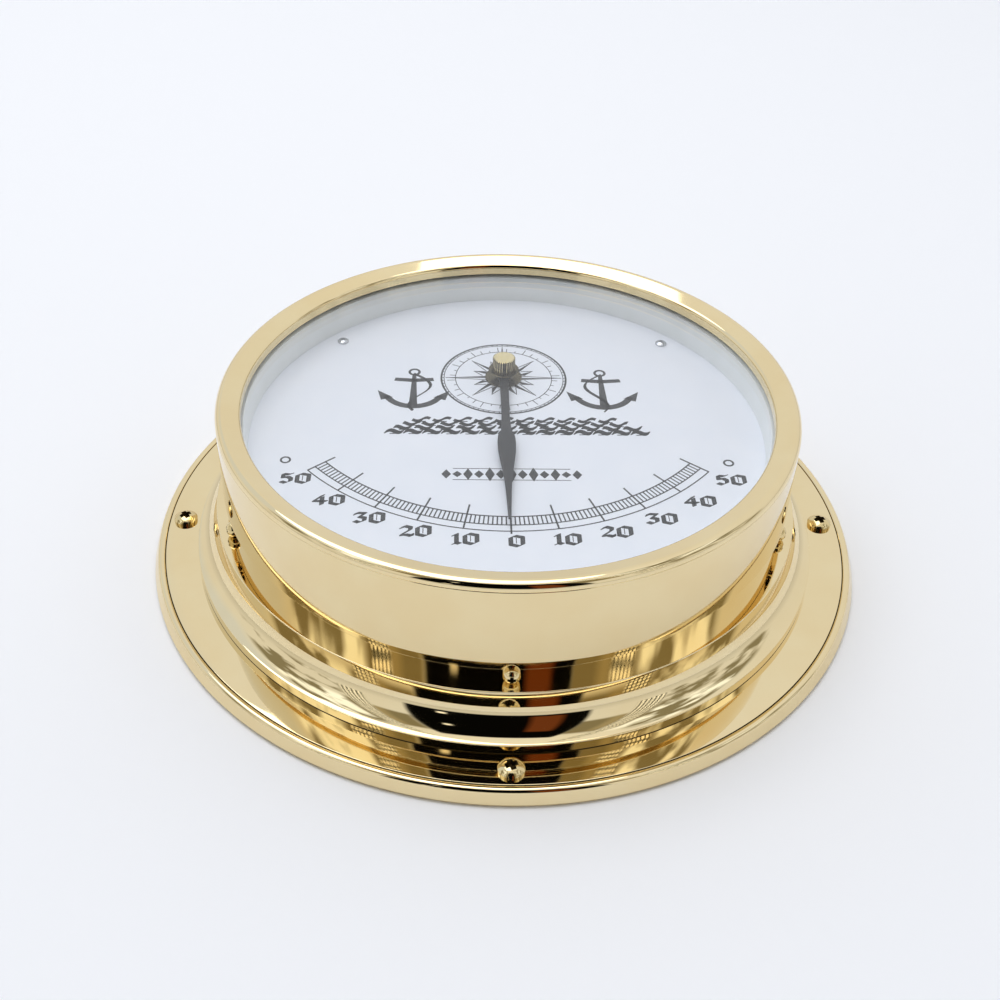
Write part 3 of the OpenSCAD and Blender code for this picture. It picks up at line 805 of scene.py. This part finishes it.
def studio():
    """A pale room, greyer low down, with a dark gap in front and a dotted light panel on each side of it."""
    world = bpy.data.worlds.new("studio")
    bpy.context.scene.world = world
    world.use_nodes = True
    tree = world.node_tree
    out = tree.nodes["Background"]
    way = add(tree, "ShaderNodeTexCoord").outputs["Generated"]
    part = add(tree, "ShaderNodeSeparateXYZ", {"Vector": way})

    def work(kind, a, b=None, fixed=None):
        """One Math node on sockets a and b, or on a and a fixed number."""
        links = {0: a} if b is None else {0: a, 1: b}
        settings = {} if fixed is None else {"in_1": fixed}
        return add(tree, "ShaderNodeMath", links, operation=kind, **settings).outputs[0]

    # degrees round from the front and degrees up
    ahead = work("MULTIPLY", part.outputs["Y"], fixed=-1.0)
    around = work("DEGREES", work("ARCTAN2", part.outputs["X"], ahead))
    high = work("DEGREES", work("ARCSINE", part.outputs["Z"]))

    def window(value, low, top, soft):
        """1 between low and top, 0 outside, with soft ends."""
        rise = add(tree, "ShaderNodeMapRange", {"Value": value},
                   in_From_Min=low - soft, in_From_Max=low + soft)
        fall = add(tree, "ShaderNodeMapRange", {"Value": value},
                   in_From_Min=top - soft, in_From_Max=top + soft, in_To_Min=1.0, in_To_Max=0.0)
        return work("MULTIPLY", rise.outputs[0], fall.outputs[0])

    def patch(under, colour, az, el, soft=1.0, extra=None, gain=1.0):
        """Lays a colour over what is under it, within a range round and a range up."""
        mask = work("MULTIPLY", window(around, az[0], az[1], soft), window(high, el[0], el[1], soft))
        if extra is not None:
            mask = work("MULTIPLY", mask, extra)
        over = [c * gain for c in linear(colour)]
        return add(tree, "ShaderNodeMix", {"Factor": mask, "A": under}, data_type="RGBA",
                   in_7=over).outputs["Result"]

    def dots(spacing):
        """Round dots in rows, one for each step of spacing in degrees."""
        square = []
        for value in (around, high):
            cell = work("FRACT", work("MULTIPLY", value, fixed=1 / spacing))
            off = work("SUBTRACT", cell, fixed=0.5)
            square.append(work("MULTIPLY", off, off))
        return work("LESS_THAN", work("ADD", square[0], square[1]), fixed=DOT_SIZE)

    height = add(tree, "ShaderNodeMapRange", {"Value": high}, in_From_Min=0.0, in_From_Max=90.0)
    base = add(tree, "ShaderNodeValToRGB", {"Fac": height.outputs[0]})
    steps = base.color_ramp.elements
    steps[0].color = linear("#cfd1d4")
    steps[1].color = linear("#fbfcff")
    for position, code in ((0.14, "#e6e8ec"), (0.5, "#eaecf0")):
        steps.new(position).color = linear(code)
    colour = base.outputs["Color"]
    # a cool pale wall on the far left
    colour = patch(colour, "#dde6f7", *LEFT_WALL, 6.0)
    # the cloth on both sides hangs in soft folds
    folds = add(tree, "ShaderNodeTexNoise", {"Vector": way}, in_Scale=4.5, in_Detail=3.0)
    uneven = add(tree, "ShaderNodeMapRange", {"Value": folds.outputs["Fac"]}, in_From_Min=0.46,
                 in_From_Max=0.56).outputs[0]
    for az in CLOTHS:
        colour = patch(colour, "#eaf2ff", az, CLOTH_LIGHT_UP, 3.0, gain=1.5)
        colour = patch(colour, "#8d8874", az, CLOTH_UP, 3.0, uneven)
    for az, spot in PANELS:
        middle = (az[0] + az[1]) / 2
        colour = patch(colour, "#8a836c", az, GREY_UP, 2.0)
        colour = patch(colour, "#b5ab8e", (middle - STRIPE_HALF, middle + STRIPE_HALF), STRIPE_UP, 3.0)
        colour = patch(colour, "#5c5f58", spot, DOTTED_UP, 1.0)
        colour = patch(colour, "#ffffff", spot, DOTTED_UP, 1.0, dots(DOT_SPACING), 1.6)
    # the gap in which the camera stands, with a lit doorway and two small lamps in it
    colour = patch(colour, "#070706", *FRONT_GAP, 1.0)
    colour = patch(colour, "#6e3b1f", *DOORWAY, 1.5)
    for az, el in GAP_LAMPS:
        colour = patch(colour, "#ffffff", az, el, 0.7, gain=1.3)
    tree.links.new(colour, out.inputs["Color"])
    out.inputs["Strength"].default_value = 1.05


studio()


def softbox():
    """A round lamp above and behind the object, aimed at it."""
    place = Vector((-0.25, 0.3, 1.35))
    data = bpy.data.lights.new("overhead_softbox", "AREA")
    data.shape = "DISK"
    data.size = 1.25
    data.energy = 7.2
    lamp = bpy.data.objects.new("overhead_softbox", data)
    lamp.location = place
    lamp.rotation_euler = (-place).to_track_quat("-Z", "Y").to_euler()
    bpy.context.scene.collection.objects.link(lamp)


softbox()


def photo_camera():
    """The camera, as fitted to the circles of the case."""
    place = Vector((-12.17, -268.66, 225.83)) * MM
    down = math.radians(38.09)
    roll = 0.0075
    ahead = Vector((0, math.cos(down), -math.sin(down)))
    level = Vector((1, 0, 0))
    upright = level.cross(ahead)
    across = math.cos(roll) * level + math.sin(roll) * upright
    upward = -math.sin(roll) * level + math.cos(roll) * upright
    data = bpy.data.cameras.new("camera")
    data.sensor_width = 36
    data.lens = 47.74
    data.shift_x = 0.0437
    data.shift_y = -0.0118
    data.clip_start = 0.01
    camera = bpy.data.objects.new("camera", data)
    camera.matrix_world = Matrix.Translation(place) @ Matrix((across, upward, -ahead)).transposed().to_4x4()
    bpy.context.scene.collection.objects.link(camera)
    bpy.context.scene.camera = camera


photo_camera()
bpy.context.scene.view_settings.view_transform = "Standard"
